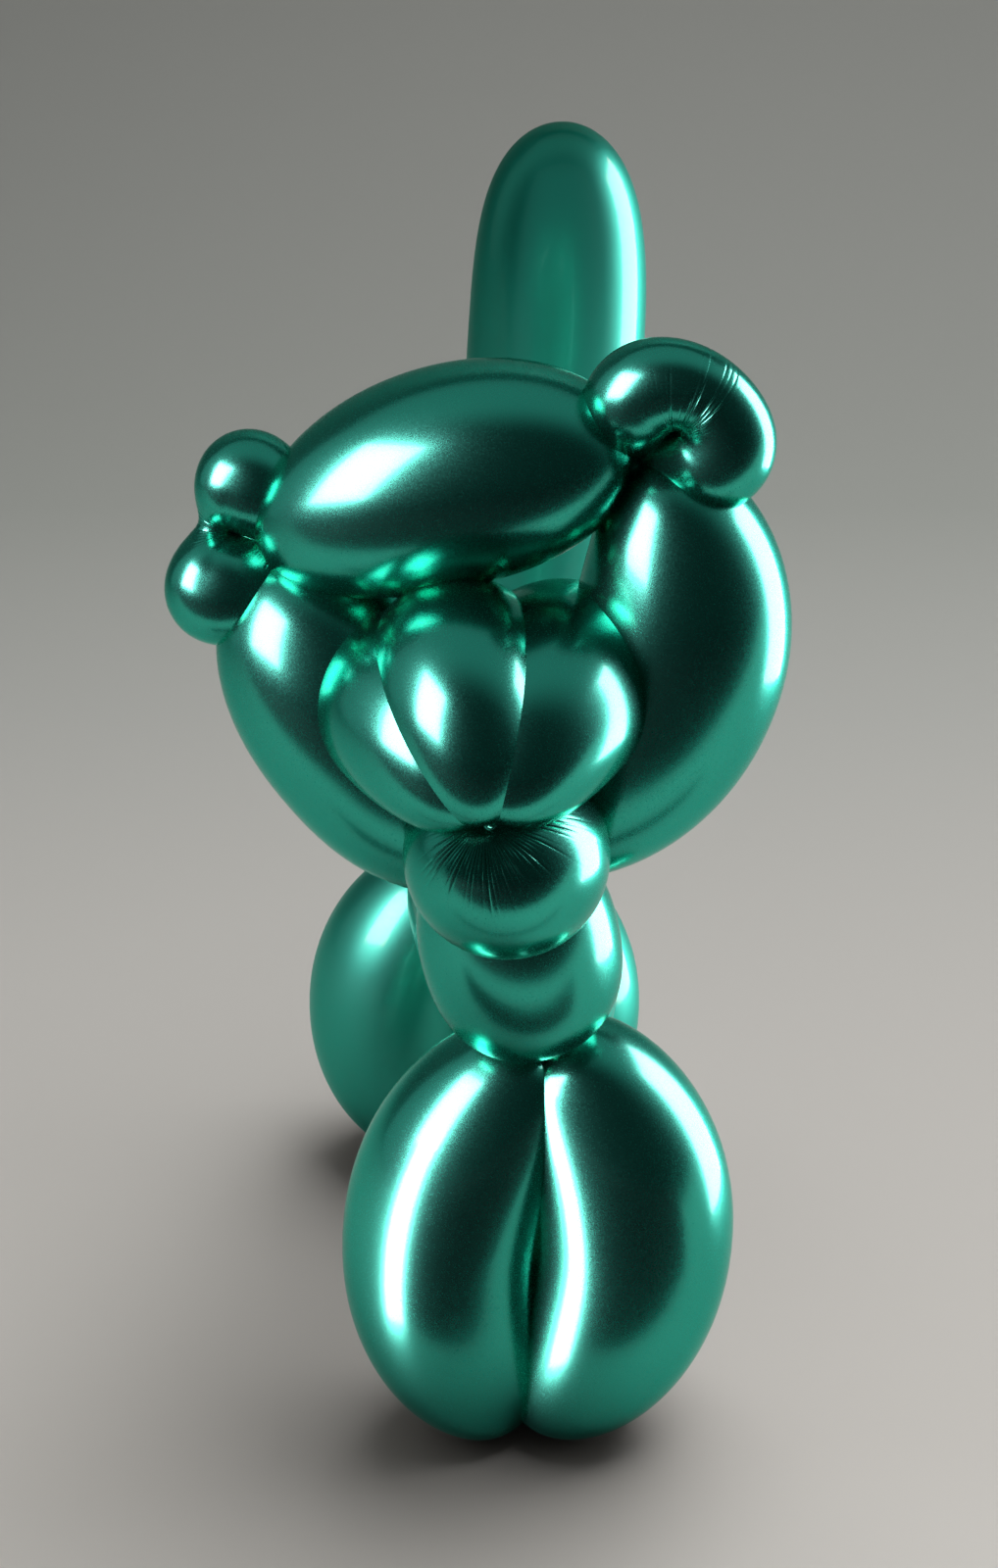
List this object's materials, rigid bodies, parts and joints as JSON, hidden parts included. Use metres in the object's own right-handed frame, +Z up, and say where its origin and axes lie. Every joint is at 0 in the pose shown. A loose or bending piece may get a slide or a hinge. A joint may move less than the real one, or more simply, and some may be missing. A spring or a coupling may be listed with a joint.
{
  "type": "balloon cat sculpture",
  "caption": "Standing cat twisted from one long modelling balloon in metallic green latex, with rounded cheeks, pleated ears and an upright tail.",
  "frame": {"origin": "on the ground, under the middle of the figure's bounding box", "axes": "+Z up along the tail, -Y the way the cat faces, +X to the right of someone who faces the cat"},
  "size_m": [0.1502, 0.2362, 0.3355],
  "materials": {
    "balloon": "metallic green, satin to glossy"
  },
  "bodies": {
    "root": {"balloon": "balloon"}
  },
  "joints": []
}
